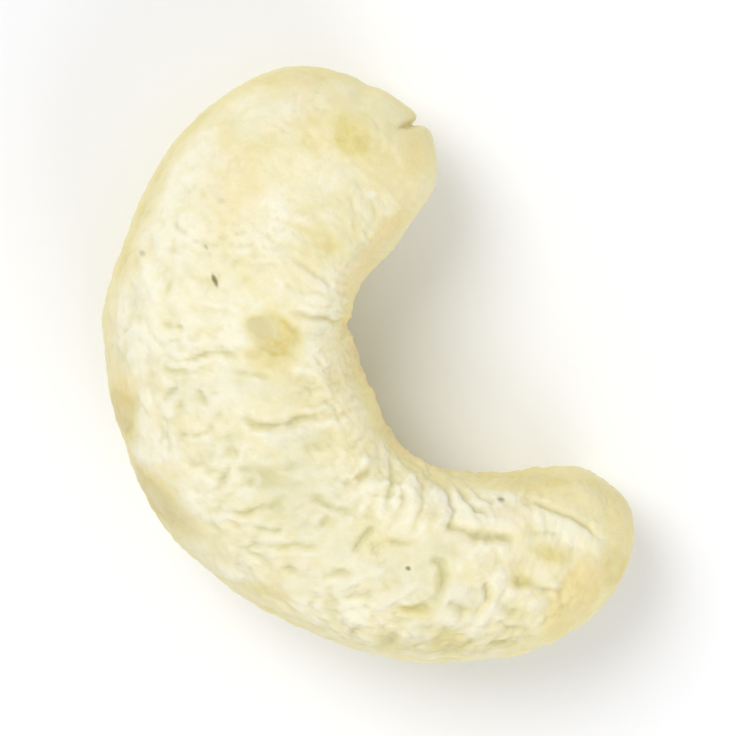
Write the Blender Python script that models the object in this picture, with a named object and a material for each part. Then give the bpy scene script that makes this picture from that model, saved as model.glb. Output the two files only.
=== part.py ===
# One whole cashew kernel, out of its shell and skin, lying on its side.
# The kernel is one grown piece: two seed leaves pressed together and joined at the root end.
# +Z is up and the kernel rests on Z = 0. +X runs along it from the root end to the plain end,
# and +Y points out of the hollow of its curve. The origin is below the middle of its box.

import math

import bmesh
import bpy
import numpy as np

MM = 0.001

# Sections across the kernel, from the root end to the plain end, in millimetres: a point on the
# outer curve, the matching point on the inner curve, half the thickness there, and the height
# of the middle plane, where the two seed leaves meet, above the surface that it rests on.
ROOT_TIP = (-7.5, 8.70, 4.85)
SECTIONS = (
    ((-10.10, 7.80), (-5.50, 7.90), 2.45, 4.87),
    ((-12.20, 5.75), (-4.72, 6.55), 3.90, 4.90),
    ((-12.90, 2.95), (-4.25, 5.05), 4.70, 4.90),
    ((-12.28, -0.20), (-3.85, 3.70), 5.05, 4.93),
    ((-10.68, -3.05), (-3.15, 2.45), 5.15, 5.23),
    ((-8.30, -6.05), (-2.15, 1.70), 5.10, 5.25),
    ((-4.90, -7.75), (-0.85, 1.25), 5.05, 5.10),
    ((-1.10, -8.65), (0.60, 0.98), 5.05, 5.01),
    ((2.80, -8.25), (2.05, 0.82), 5.05, 5.01),
    ((6.40, -6.55), (3.50, 1.12), 5.00, 5.12),
    ((9.55, -4.20), (4.88, 2.08), 4.85, 5.05),
    ((11.65, -1.35), (5.88, 3.42), 4.60, 4.68),
    ((12.70, 1.30), (6.62, 4.80), 4.25, 4.20),
    ((12.80, 3.95), (7.30, 6.08), 3.45, 4.05),
    ((11.85, 6.00), (8.25, 6.93), 2.15, 4.02),
)
PLAIN_TIP = (10.10, 7.22, 4.02)
SPANS = len(SECTIONS) + 1

# A section is an ellipse drawn towards a rounded box by this power; 2 is a plain ellipse.
SQUARENESS = 2.3

# The furrow along the inner curve, where the seed leaves' edges roll in to the seam.
FURROW_DEPTH = 0.95
FURROW_HALF_WIDTH = 0.62
FURROW_FROM, FURROW_TO = 1.4, 12.2
FURROW_FADE = 2.2
LIP_HEIGHT = 0.16
LIP_OFFSET = 1.35
LIP_HALF_WIDTH = 0.60

# The pit in the furrow near the root end, over the tip of the root.
PIT_AT = 1.9
PIT_DEPTH = 0.85
PIT_LENGTH, PIT_WIDTH = 0.75, 0.55

# The cleft across the root end, and the shallow step beside it that bounds the root's bulge.
CLEFT_X, CLEFT_Y = -7.78, 8.6
CLEFT_DEPTH = 0.50
CLEFT_HALF_WIDTH = 0.27
CLEFT_REACH = 1.9
STEP_X, STEP_Y = -10.2, 7.7
STEP_DEPTH = 0.17
STEP_HALF_WIDTH = 0.45
STEP_REACH = 1.6

# Folds across the upper side, where the flesh shrank as it dried: the points that each fold
# runs through, and its depth.
FOLDS = (
    (((-1.4, -3.7), (-0.2, -2.1), (0.3, -0.3)), 0.17),
    (((-4.5, -0.2), (-3.3, 0.9), (-2.4, 2.0)), 0.11),
    (((-4.6, -4.3), (-3.9, -2.5)), 0.10),
    (((4.1, 1.3), (5.4, -0.7), (5.4, -2.6)), 0.17),
    (((4.7, 1.9), (6.2, 0.5), (7.8, -0.4)), 0.17),
    (((6.9, 1.2), (8.7, 3.5)), 0.15),
    (((6.9, 3.6), (9.3, 5.3)), 0.12),
)
FOLD_HALF_WIDTH = 0.45

# Broad unevenness between the tips: waves along the length and round the girth.
SWELL = 0.09
SWELL_ALONG, SWELL_ROUND = 2.6, 3

# Sections nearer to a tip than this take their outward direction from a point further in.
CORE_INSET = 2.2

RINGS, SEGMENTS = 72, 64
# How strongly the rings crowd together at the tips, and the segments at the furrow.
TIP_CROWDING = 0.52
FURROW_CROWDING = 0.45


def spline_controls(knots):
    """Control points of the closed cubic B-spline that passes through the knots."""
    count = len(knots)
    matrix = np.zeros((count, count))
    for row in range(count):
        matrix[row, row] = 4 / 6
        matrix[row, row - 1] += 1 / 6
        matrix[row, (row + 1) % count] += 1 / 6
    return np.linalg.solve(matrix, knots)


def spline_point(controls, place):
    """The spline's point at a place counted in knots."""
    count = len(controls)
    whole = math.floor(place)
    part = place - whole
    weights = (
        (1 - part) ** 3 / 6,
        (3 * part**3 - 6 * part**2 + 4) / 6,
        (-3 * part**3 + 3 * part**2 + 3 * part + 1) / 6,
        part**3 / 6,
    )
    return sum(
        weight * controls[(whole + step) % count]
        for weight, step in zip(weights, (-1, 0, 1, 2))
    )


def kernel_controls():
    """One closed curve round the kernel: out along the outer points and back along the inner.
    Half thickness is stored as positive outside and negative inside, so it passes through 0."""
    outer = [(*out, thick, middle) for out, _, thick, middle in SECTIONS]
    inner = [(*into, -thick, middle) for _, into, thick, middle in SECTIONS]
    root = (ROOT_TIP[0], ROOT_TIP[1], 0, ROOT_TIP[2])
    plain = (PLAIN_TIP[0], PLAIN_TIP[1], 0, PLAIN_TIP[2])
    return spline_controls(np.array([root, *outer, plain, *reversed(inner)], float))


CONTROLS = kernel_controls()


def section_at(place):
    """(middle point, vector from it to the inner edge, half thickness) at a place in spans."""
    outer = spline_point(CONTROLS, place)
    inner = spline_point(CONTROLS, 2 * SPANS - place)
    middle = np.array((*(outer[:2] + inner[:2]) / 2, (outer[3] + inner[3]) / 2))
    inward = np.array((*(inner[:2] - outer[:2]) / 2, 0.0))
    return middle, inward, (outer[2] - inner[2]) / 2


def bell(distance, half_width):
    return math.exp(-((distance / half_width) ** 2))


def ramp(value):
    """0 below 0, 1 above 1, and a smooth rise between."""
    value = min(1.0, max(0.0, value))
    return value * value * (3 - 2 * value)


def seam_relief(place, across):
    """The furrow with its two lips, and the pit. across is the height above the seam."""
    along = ramp((place - FURROW_FROM) / FURROW_FADE) * ramp(
        (FURROW_TO - place) / FURROW_FADE
    )
    lips = bell(abs(across) - LIP_OFFSET, LIP_HALF_WIDTH) * LIP_HEIGHT
    furrow = bell(across, FURROW_HALF_WIDTH) * FURROW_DEPTH
    pit = PIT_DEPTH * bell(place - PIT_AT, PIT_LENGTH) * bell(across, PIT_WIDTH)
    return along * (lips - furrow) - pit


def end_relief(point):
    """The cleft and the step at the root end, both upright creases at the rim of its outline."""
    cleft = bell(point[0] - CLEFT_X, CLEFT_HALF_WIDTH) * CLEFT_DEPTH
    cleft *= ramp(1 - (CLEFT_Y - point[1]) / CLEFT_REACH)
    step = bell(point[0] - STEP_X, STEP_HALF_WIDTH) * STEP_DEPTH
    step *= ramp(1 - (STEP_Y - point[1]) / STEP_REACH)
    return -cleft - step


def distance_to_path(x, y, path):
    """The shortest distance in plan from a point to a path of straight stretches."""
    nearest = math.inf
    for (from_x, from_y), (to_x, to_y) in zip(path, path[1:]):
        run_x, run_y = to_x - from_x, to_y - from_y
        share = ((x - from_x) * run_x + (y - from_y) * run_y) / (run_x**2 + run_y**2)
        share = min(1.0, max(0.0, share))
        gap = math.hypot(x - from_x - share * run_x, y - from_y - share * run_y)
        nearest = min(nearest, gap)
    return nearest


def fold_relief(point):
    folds = (
        bell(distance_to_path(point[0], point[1], path), FOLD_HALF_WIDTH) * depth
        for path, depth in FOLDS
    )
    return -max(folds)


def surface_point(place, turn):
    """The kernel's surface: place runs 0 to SPANS along it, and turn 0 faces the inner curve."""
    middle, inward, thick = section_at(place)
    side, rise = math.cos(turn), math.sin(turn)
    reach = (abs(side) ** SQUARENESS + abs(rise) ** SQUARENESS) ** (-1 / SQUARENESS)
    point = middle + inward * side * reach
    point[2] += thick * rise * reach
    core, _, _ = section_at(min(SPANS - CORE_INSET, max(CORE_INSET, place)))
    outward = (point - core) / np.linalg.norm(point - core)
    relief = end_relief(point)
    if side > 0:
        relief += seam_relief(place, point[2] - middle[2]) * ramp(2 * side)
    if rise > 0:
        relief += fold_relief(point) * ramp(2 * rise)
    swell = SWELL * math.sin(SWELL_ALONG * place) * math.sin(SWELL_ROUND * turn)
    relief += swell * math.sin(math.pi * place / SPANS)
    return point + outward * relief


def kernel_mesh():
    """A sphere, each point of which is moved to its place on the kernel, then cut flat below."""
    body = bmesh.new()
    bmesh.ops.create_uvsphere(body, u_segments=SEGMENTS, v_segments=RINGS, radius=1.0)
    for vert in body.verts:
        share = math.asin(max(-1.0, min(1.0, vert.co.z))) / math.pi + 0.5
        share -= TIP_CROWDING * math.sin(2 * math.pi * share) / (2 * math.pi)
        turn = math.atan2(vert.co.y, vert.co.x)
        turn -= FURROW_CROWDING * math.sin(turn)
        vert.co = surface_point(SPANS * share, turn) * MM
    everything = body.verts[:] + body.edges[:] + body.faces[:]
    bmesh.ops.bisect_plane(
        body,
        geom=everything,
        dist=1e-7,
        plane_co=(0, 0, 0),
        plane_no=(0, 0, 1),
        clear_inner=True,
    )
    rims = [edge for edge in body.edges if edge.is_boundary]
    bmesh.ops.holes_fill(body, edges=rims, sides=0)
    bmesh.ops.recalc_face_normals(body, faces=body.faces)
    mesh = bpy.data.meshes.new("kernel")
    body.to_mesh(mesh)
    body.free()
    mesh.shade_smooth()
    mesh.set_sharp_from_angle(angle=math.radians(50))
    return mesh


def kernel_material():
    material = bpy.data.materials.new("cream_flesh")
    material.use_nodes = True
    shader = material.node_tree.nodes["Principled BSDF"]
    shader.inputs["Base Color"].default_value = (0.90, 0.83, 0.60, 1.0)
    shader.inputs["Roughness"].default_value = 0.5
    shader.inputs["Metallic"].default_value = 0.0
    return material


for old in list(bpy.data.objects):
    bpy.data.objects.remove(old)
kernel = bpy.data.objects.new("kernel", kernel_mesh())
kernel.data.materials.append(kernel_material())
bpy.context.scene.collection.objects.link(kernel)
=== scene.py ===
import math

import bmesh
import bpy
import numpy as np
from mathutils import Matrix, Vector, noise


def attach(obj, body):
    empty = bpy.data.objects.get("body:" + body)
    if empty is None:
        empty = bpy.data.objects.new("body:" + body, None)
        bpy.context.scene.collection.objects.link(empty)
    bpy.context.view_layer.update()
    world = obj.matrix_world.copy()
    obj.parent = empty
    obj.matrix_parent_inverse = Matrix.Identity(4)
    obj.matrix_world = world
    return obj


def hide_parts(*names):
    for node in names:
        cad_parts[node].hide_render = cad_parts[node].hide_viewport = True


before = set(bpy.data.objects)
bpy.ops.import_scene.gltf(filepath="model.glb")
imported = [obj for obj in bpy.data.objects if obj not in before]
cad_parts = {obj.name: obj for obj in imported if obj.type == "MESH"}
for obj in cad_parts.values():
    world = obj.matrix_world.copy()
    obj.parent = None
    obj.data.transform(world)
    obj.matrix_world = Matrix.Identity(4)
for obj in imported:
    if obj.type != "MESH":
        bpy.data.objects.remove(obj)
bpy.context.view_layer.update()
print("frame loaded")

mm = 0.001

# The view that the kernel is read in. Seen places are millimetres to the right of and down from
# the kernel's middle in that view.
view = {
    "turn": math.radians(57.2),   # from +X round to the view's right
    "lean": math.radians(5.7),    # off straight down, towards the view's top
    "distance": 280.0,            # from the eye to the kernel
    "frameWidth": 29.5,           # what the picture takes in, at the kernel
    "aim": (1.0, -1.3),           # seen place at the middle of the frame
    "middleHeight": 5.0,
}
seenRight = np.array((math.cos(view["turn"]), math.sin(view["turn"])))
seenDown = np.array((math.sin(view["turn"]), -math.cos(view["turn"])))
leanSlope = math.tan(view["lean"])

# The kernel in millimetres. Each section has a point on the outer curve, the matching point on
# the inner curve, half the thickness, and the height of the seam plane.
kernel = {
    "rootTip": (-7.5, 8.70, 4.85),
    "sections": (
        ((-10.10, 7.80), (-5.50, 7.90), 2.45, 4.87),
        ((-12.20, 5.75), (-4.72, 6.55), 3.90, 4.90),
        ((-12.90, 2.95), (-4.25, 5.05), 4.70, 4.90),
        ((-12.28, -0.20), (-3.85, 3.70), 5.05, 4.93),
        ((-10.68, -3.05), (-3.15, 2.45), 5.15, 5.23),
        ((-8.30, -6.05), (-2.15, 1.70), 5.10, 5.25),
        ((-4.90, -7.75), (-0.85, 1.25), 5.05, 5.10),
        ((-1.10, -8.65), (0.60, 0.98), 5.05, 5.01),
        ((2.80, -8.25), (2.05, 0.82), 5.05, 5.01),
        ((6.40, -6.55), (3.50, 1.12), 5.00, 5.12),
        ((9.55, -4.20), (4.88, 2.08), 4.85, 5.05),
        ((11.65, -1.35), (5.88, 3.42), 4.60, 4.68),
        ((12.70, 1.30), (6.62, 4.80), 4.25, 4.20),
        ((12.80, 3.95), (7.30, 6.08), 3.45, 4.05),
        ((11.85, 6.00), (8.25, 6.93), 2.15, 4.02),
    ),
    "plainTip": (10.10, 7.22, 4.02),
    "squareness": 2.3,            # 2 makes each section a plain ellipse
    # Added to the squareness on the upper side towards the inner curve, less at the plain end.
    "innerSquareness": {"added": 1.2, "least": 0.35, "until": 13, "fade": 3, "facing": 1.5},
    "furrow": {"depth": 0.95, "halfWidth": 0.62, "start": 1.4, "end": 12.2, "fade": 2.2},
    "furrowLips": {"height": 0.16, "offset": 1.35, "halfWidth": 0.60},
    "pit": {"place": 1.9, "depth": 0.85, "length": 0.75, "width": 0.55},
    # Upright creases at the rim: where each starts, the way it runs in from there, as seen, its
    # depth, half its width, and how far it reaches.
    "rimMarks": (
        {"at": (3.02, -11.19), "way": (-1.0, 0.12), "depth": 0.50, "halfWidth": 0.17, "reach": 1.2},
        {"at": (0.95, -12.75), "way": (-0.5, 0.87), "depth": 0.14, "halfWidth": 0.45, "reach": 1.6},
        {"at": (0.20, -3.15), "way": (-1.0, -0.15), "depth": 0.20, "halfWidth": 0.30, "reach": 1.4},
    ),
    "rimMarkTop": 6.0,            # below this height the rim marks waver and fade
    "rimWaver": {"reach": 0.25, "rate": 0.8, "growth": 4},
    "rimFade": {"strength": 1.1, "height": 7},
    "swell": {"height": 0.09, "along": 2.6, "round": 3},
    "coreInset": 2.2,             # spans that the tips' outward directions start from
    "cellsAlong": 262,
    "cellsRound": 77,             # on each of the four sides
    "capAngle": math.radians(22.5),   # how far the block's end faces reach from the tips
}
spans = len(kernel["sections"]) + 1

# Creases on the upper side, as seen: the path, its depth, and half its width.
creases = (
    (((-4.0, 0.72), (-3.5, 0.96), (-2.8, 1.00), (-2.1, 0.86), (-1.6, 0.70)), 0.17, 0.17),
    (((-1.9, 0.78), (-1.3, 0.62), (-0.8, 0.52), (-0.3, 0.55)), 0.07, 0.15),
    (((-2.1, -3.50), (-1.0, -3.30), (0.0, -3.05), (0.5, -3.10)), 0.11, 0.14),
    (((-6.0, -1.60), (-5.4, -1.85), (-4.9, -1.95), (-4.3, -1.82)), 0.13, 0.13),
    (((-4.2, -1.12), (-3.5, -1.00), (-2.7, -0.86)), 0.08, 0.12),
    (((-3.9, -5.50), (-3.1, -5.42), (-2.3, -5.35)), 0.05, 0.11),
    (((-5.9, -3.62), (-5.4, -3.58), (-5.0, -3.68)), 0.06, 0.12),
    (((-5.2, -2.10), (-4.6, -2.20)), 0.05, 0.10),
    (((-7.2, -1.30), (-6.6, -1.10), (-6.0, -1.25)), 0.08, 0.11),
    (((-7.2, -3.08), (-6.7, -3.00), (-6.2, -2.88)), 0.10, 0.11),
    (((-7.15, 0.05), (-6.85, -0.35), (-6.5, -0.48)), 0.10, 0.13),
    (((-6.35, -0.10), (-6.45, 0.25), (-6.6, 0.45)), 0.07, 0.12),
    (((-5.75, -0.50), (-5.55, -0.15), (-5.4, 0.20)), 0.09, 0.15),
    (((-6.5, 1.40), (-5.9, 1.35), (-5.4, 1.20)), 0.06, 0.11),
    (((-4.6, 4.40), (-3.9, 4.45), (-3.2, 4.25), (-2.5, 4.05)), 0.08, 0.12),
    (((-3.6, 5.05), (-2.9, 5.12), (-2.3, 5.18)), 0.07, 0.11),
    (((-2.6, 5.90), (-1.9, 5.76), (-1.4, 5.80), (-0.8, 5.74)), 0.08, 0.12),
    (((-1.2, 3.75), (-0.6, 4.05), (-0.2, 4.28), (0.25, 4.30)), 0.09, 0.14),
    (((0.0, 3.30), (0.45, 3.12), (0.9, 2.85), (1.2, 2.62)), 0.09, 0.16),
    (((1.25, 4.95), (0.85, 5.35), (0.6, 5.80), (0.45, 6.1)), 0.14, 0.16),
    (((-0.9, 4.95), (-0.5, 4.75)), 0.07, 0.13),
    (((-0.5, 6.80), (0.0, 6.95), (0.4, 6.85)), 0.05, 0.16),
    (((-2.3, 6.60), (-2.0, 6.85)), 0.08, 0.14),
    (((3.55, 3.05), (4.1, 3.60), (4.45, 4.30), (4.3, 5.0)), 0.09, 0.14),
    (((4.2, 4.9), (4.8, 5.20), (5.9, 5.40), (7.1, 5.50)), 0.13, 0.17),
    (((4.3, 3.35), (4.65, 3.60), (5.0, 4.0), (5.3, 4.35), (5.9, 4.5)), 0.11, 0.12),
    (((5.0, 3.40), (5.5, 3.85), (6.0, 4.15)), 0.07, 0.10),
    (((7.2, 4.02), (8.2, 4.28), (9.1, 4.66), (9.8, 5.05), (10.1, 5.5)), 0.12, 0.13),
    (((7.6, 5.32), (8.2, 5.25), (8.7, 5.33)), 0.07, 0.10),
    (((3.4, 6.28), (3.83, 6.42), (4.17, 6.90), (3.97, 7.52), (3.7, 8.07)), 0.15, 0.17),
    (((5.65, 7.2), (5.8, 7.55), (5.7, 8.0)), 0.13, 0.14),
    (((2.1, 8.26), (2.8, 8.32), (3.5, 8.20)), 0.09, 0.15),
    (((4.1, 8.00), (4.5, 8.20), (5.0, 8.42)), 0.09, 0.13),
    (((6.9, 7.22), (7.3, 7.30), (7.8, 7.42)), 0.07, 0.18),
    (((7.6, 7.45), (8.3, 7.62), (8.7, 7.75)), 0.09, 0.11),
    (((1.7, 5.58), (2.3, 5.66), (2.8, 5.56)), 0.07, 0.12),
    (((1.9, 2.3), (2.0, 3.2), (1.7, 4.2)), 0.08, 0.14),
    (((3.1, 3.1), (3.2, 4.0), (2.9, 4.7), (2.7, 5.2)), 0.09, 0.14),
    (((2.2, 3.0), (2.5, 3.6), (2.3, 4.4)), 0.06, 0.11),
    (((5.9, 9.70), (6.15, 9.80), (6.5, 9.72)), 0.08, 0.14),
    (((6.0, 8.7), (6.6, 9.1), (7.4, 9.2)), 0.07, 0.12),
    (((2.4, 9.0), (1.9, 9.4), (1.8, 9.9)), 0.03, 0.15),
    (((-2.4, -4.6), (-1.4, -4.3), (-0.4, -4.15)), 0.05, 0.12),
    (((-2.1, -5.60), (-1.2, -5.10), (-0.4, -4.55)), 0.07, 0.12),
    (((-2.3, -2.9), (-1.2, -2.6), (-0.3, -2.5)), 0.03, 0.12),
    (((-6.8, -7.20), (-6.1, -6.60), (-5.3, -6.00)), 0.06, 0.12),
    (((-7.1, -6.1), (-6.2, -5.8)), 0.04, 0.10),
    (((0.4, -8.1), (0.5, -7.3), (0.2, -6.6)), 0.02, 0.12),
    (((1.3, -7.6), (1.1, -6.8)), 0.015, 0.10),
)
creaseShoulder = {"height": 0.30, "offset": 2.0, "width": 1.1}   # in depths and half widths

# Thin raised lines between the creases: the path, the height, and half the width.
ridges = (
    (((-3.2, 1.30), (-2.6, 1.42), (-1.7, 1.28), (-0.7, 0.95), (0.1, 0.66)), 0.10, 0.22),
    (((-3.0, 6.15), (-1.8, 6.07), (-0.7, 5.95)), 0.09, 0.13),
    (((-3.2, 5.45), (-2.3, 5.52), (-1.2, 5.40), (-0.4, 5.05)), 0.08, 0.13),
    (((-5.2, 4.62), (-4.3, 4.66), (-3.3, 4.78)), 0.08, 0.13),
    (((-1.3, 4.10), (-0.5, 4.40)), 0.07, 0.14),
    (((-0.5, 7.62), (0.1, 7.30), (0.8, 7.00), (1.5, 6.70), (2.0, 6.42)), 0.12, 0.14),
    (((1.45, 8.15), (2.1, 7.75), (2.9, 7.15)), 0.11, 0.15),
    (((-7.1, 2.35), (-6.3, 2.12)), 0.08, 0.17),
    (((2.75, 3.0), (2.75, 3.9), (2.35, 5.0)), 0.09, 0.20),
    (((3.75, 3.7), (3.95, 4.5), (3.7, 5.1)), 0.08, 0.18),
    (((4.75, 4.1), (5.1, 4.75), (6.0, 4.95)), 0.08, 0.16),
    (((4.5, 5.75), (5.6, 5.80), (6.6, 5.85)), 0.06, 0.16),
    (((5.3, 9.0), (5.7, 8.5), (6.1, 7.95)), 0.09, 0.14),
    (((0.2, 3.85), (0.8, 3.5), (1.5, 3.1)), 0.06, 0.15),
)

# Rounded pads between the creases, as seen: the middle, half the length and half the width,
# the turn, and the height.
pads = (
    ((2.45, 7.55), 0.85, 0.45, -0.5, 0.13),
    ((3.20, 4.95), 0.55, 0.45, 1.3, 0.10),
    ((4.50, 7.55), 0.60, 0.45, -0.4, 0.12),
    ((5.20, 6.45), 0.60, 0.35, 0.4, 0.09),
    ((6.25, 7.05), 0.50, 0.40, 0.9, 0.09),
    ((6.05, 8.35), 0.45, 0.35, 0.9, 0.09),
    ((4.15, 8.65), 0.65, 0.35, 0.0, 0.10),
    ((5.25, 9.05), 0.55, 0.30, -0.5, 0.10),
    ((8.45, 7.10), 0.45, 0.60, 0.3, 0.10),
    ((9.30, 5.35), 0.85, 0.35, 0.5, 0.08),
    ((6.10, 4.75), 0.80, 0.25, 0.3, 0.07),
    ((7.90, 4.65), 0.80, 0.28, 0.3, 0.08),
    ((1.30, 6.90), 0.80, 0.35, -0.6, 0.07),
    ((2.60, 9.25), 0.45, 0.35, 0.8, 0.09),
    ((7.30, 8.10), 0.60, 0.35, 0.2, 0.07),
    ((-2.60, 0.20), 1.30, 0.50, 0.0, 0.15),
    ((-5.60, 0.70), 0.50, 0.35, -0.3, 0.07),
    ((-2.60, 1.55), 0.70, 0.30, 0.2, 0.06),
    ((0.10, 3.00), 0.60, 0.40, -0.5, 0.06),
)

# Dips, as seen: the middle, half the length and half the width, the turn, and the depth.
dips = (
    ((-2.75, 3.00), 0.60, 0.35, 0.4, 0.12),
    ((-4.30, 2.05), 0.34, 0.20, 0.1, 0.13),
    ((-5.85, 2.55), 0.40, 0.16, -0.2, 0.06),
    ((-3.80, 2.68), 0.42, 0.18, 0.5, 0.11),
    ((-4.50, 3.62), 0.22, 0.14, -0.3, 0.09),
    ((-4.75, 3.15), 0.20, 0.15, 0.2, 0.08),
    ((-3.60, 3.30), 0.20, 0.14, -0.2, 0.08),
    ((-2.06, 2.59), 0.30, 0.16, -0.3, 0.09),
    ((-1.75, 3.25), 0.26, 0.16, 0.1, 0.09),
    ((-3.10, 2.15), 0.24, 0.14, 0.3, 0.07),
    ((-5.30, 2.85), 0.22, 0.14, 0.0, 0.06),
    ((-2.40, 3.95), 0.40, 0.25, -0.3, 0.06),
    ((-1.10, 1.80), 0.40, 0.25, -0.2, 0.11),
    ((1.15, 2.65), 0.22, 0.18, 0.0, 0.07),
    ((4.30, 4.95), 0.25, 0.25, 0.0, 0.08),
    ((7.05, 7.25), 0.65, 0.28, 0.1, 0.05),
    ((3.85, 6.50), 0.40, 0.22, 0.2, 0.07),
    ((6.90, 8.45), 0.40, 0.25, 0.2, 0.06),
    ((1.35, 5.95), 0.35, 0.30, 0.0, 0.06),
    ((1.85, 9.60), 0.45, 0.40, 0.3, 0.05),
    ((4.20, 9.70), 0.55, 0.40, 0.0, 0.05),
    ((6.30, 9.65), 0.45, 0.20, 0.0, 0.04),
    ((8.30, 6.15), 0.50, 0.30, 0.4, 0.06),
    ((3.00, 8.30), 0.60, 0.25, 0.0, 0.06),
    ((-1.22, -0.19), 0.25, 0.25, 0.0, 0.04),
    ((-2.04, 6.76), 0.22, 0.16, 0.4, 0.08),
    ((-0.65, 5.00), 0.35, 0.20, -0.6, 0.06),
    ((0.35, 4.45), 0.50, 0.22, 0.3, 0.06),
    ((-0.10, 6.90), 0.50, 0.22, 0.1, 0.06),
)

# Patches where the white bloom is rubbed off, as seen: the middle, half the length and half
# the width, the turn, how bare it is, and the softness of its rim.
barePatches = (
    ((-2.66, -2.50), 1.16, 0.86, 0.45, 0.95, 0.30),
    ((-2.68, -2.06), 1.12, 1.05, 0.00, 0.54, 0.34),
    ((-3.25, -2.85), 0.55, 0.46, 0.50, 1.30, 0.55),
    ((-3.15, -1.60), 0.72, 0.62, 0.60, 0.42, 0.50),
    ((1.00, -8.40), 1.70, 2.60, 0.20, 0.17, 0.80),
    ((0.30, -10.60), 0.95, 0.80, 1.05, 0.66, 0.30),
    ((-0.55, -10.55), 1.40, 0.95, 0.10, 0.38, 0.45),
    ((2.75, -9.90), 0.45, 1.50, 0.15, 0.35, 0.80),
    ((1.55, -6.60), 0.40, 1.40, 0.62, 0.35, 0.80),
    ((-3.60, -9.60), 1.90, 1.50, 0.60, 0.20, 0.80),
    ((-8.85, 0.50), 0.62, 1.10, -0.30, 1.00, 0.45),
    ((-8.70, -0.10), 0.45, 0.90, 0.00, 0.45, 0.60),
    ((-8.45, -5.30), 0.50, 0.85, 0.25, 0.50, 0.50),
    ((-7.70, -8.10), 0.45, 2.60, 0.50, 0.50, 0.60),
    ((-5.90, -11.1), 0.45, 1.50, 0.80, 0.50, 0.60),
    ((-7.25, 4.05), 2.20, 0.55, 0.72, 0.95, 0.50),
    ((-5.95, 5.25), 0.85, 0.45, 0.50, 0.45, 0.50),
    ((-4.90, 6.00), 0.60, 0.55, 0.00, 0.48, 0.55),
    ((-3.20, 7.58), 1.10, 0.28, 0.22, 0.50, 0.50),
    ((1.80, 9.62), 0.60, 0.45, 0.30, 0.28, 0.50),
    ((4.25, 9.70), 0.75, 0.50, 0.00, 0.42, 0.45),
    ((6.90, 9.70), 0.95, 0.35, -0.1, 0.30, 0.50),
    ((9.25, 7.90), 1.70, 0.84, -1.02, 0.40, 0.24),
    ((8.70, 9.10), 0.90, 0.50, -0.60, 0.60, 0.55),
    ((-0.40, -6.50), 0.90, 0.80, 0.20, 0.30, 0.80),
    ((8.30, 6.10), 0.62, 0.36, 0.30, 0.52, 0.60),
    ((7.05, 7.20), 0.55, 0.30, 0.00, 0.68, 0.55),
    ((6.90, 8.45), 0.55, 0.35, 0.20, 0.42, 0.60),
    ((3.80, 7.10), 0.24, 0.50, 0.10, 0.72, 0.50),
    ((2.75, 8.32), 0.80, 0.28, 0.05, 0.62, 0.60),
    ((10.9, 6.6), 0.55, 1.10, 0.15, 0.55, 0.50),
    ((11.1, 5.0), 0.55, 1.60, 0.00, 0.34, 0.60),
    ((10.3, 3.75), 0.90, 0.38, 0.60, 0.28, 0.60),
    ((6.60, 8.30), 3.20, 1.50, 0.00, 0.16, 0.90),
    ((-2.30, -12.7), 1.80, 0.60, -0.10, 0.30, 0.90),
    ((8.0, 3.30), 1.70, 0.32, -0.05, 0.52, 0.60),
    ((2.30, 5.60), 0.60, 0.20, 0.00, 0.30, 0.60),
    ((-2.70, 3.05), 0.75, 0.42, 0.40, 0.30, 0.70),
    ((-2.60, 0.30), 1.20, 0.38, 0.00, 0.26, 0.70),
    ((-6.40, 0.20), 0.22, 0.50, 0.10, 0.45, 0.60),
    ((-0.60, -6.10), 0.50, 0.40, 0.20, 0.42, 0.80),
    ((-1.60, -6.80), 0.75, 0.18, 0.28, 0.40, 0.70),
    ((0.45, -6.60), 0.22, 0.32, 0.00, 0.36, 0.70),
    ((1.24, -7.50), 0.16, 0.32, -0.20, 0.34, 0.70),
    ((1.32, -8.80), 0.36, 0.36, 0.00, 0.24, 0.80),
    ((-1.40, -7.60), 0.28, 0.22, 0.00, 0.30, 0.80),
)

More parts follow.
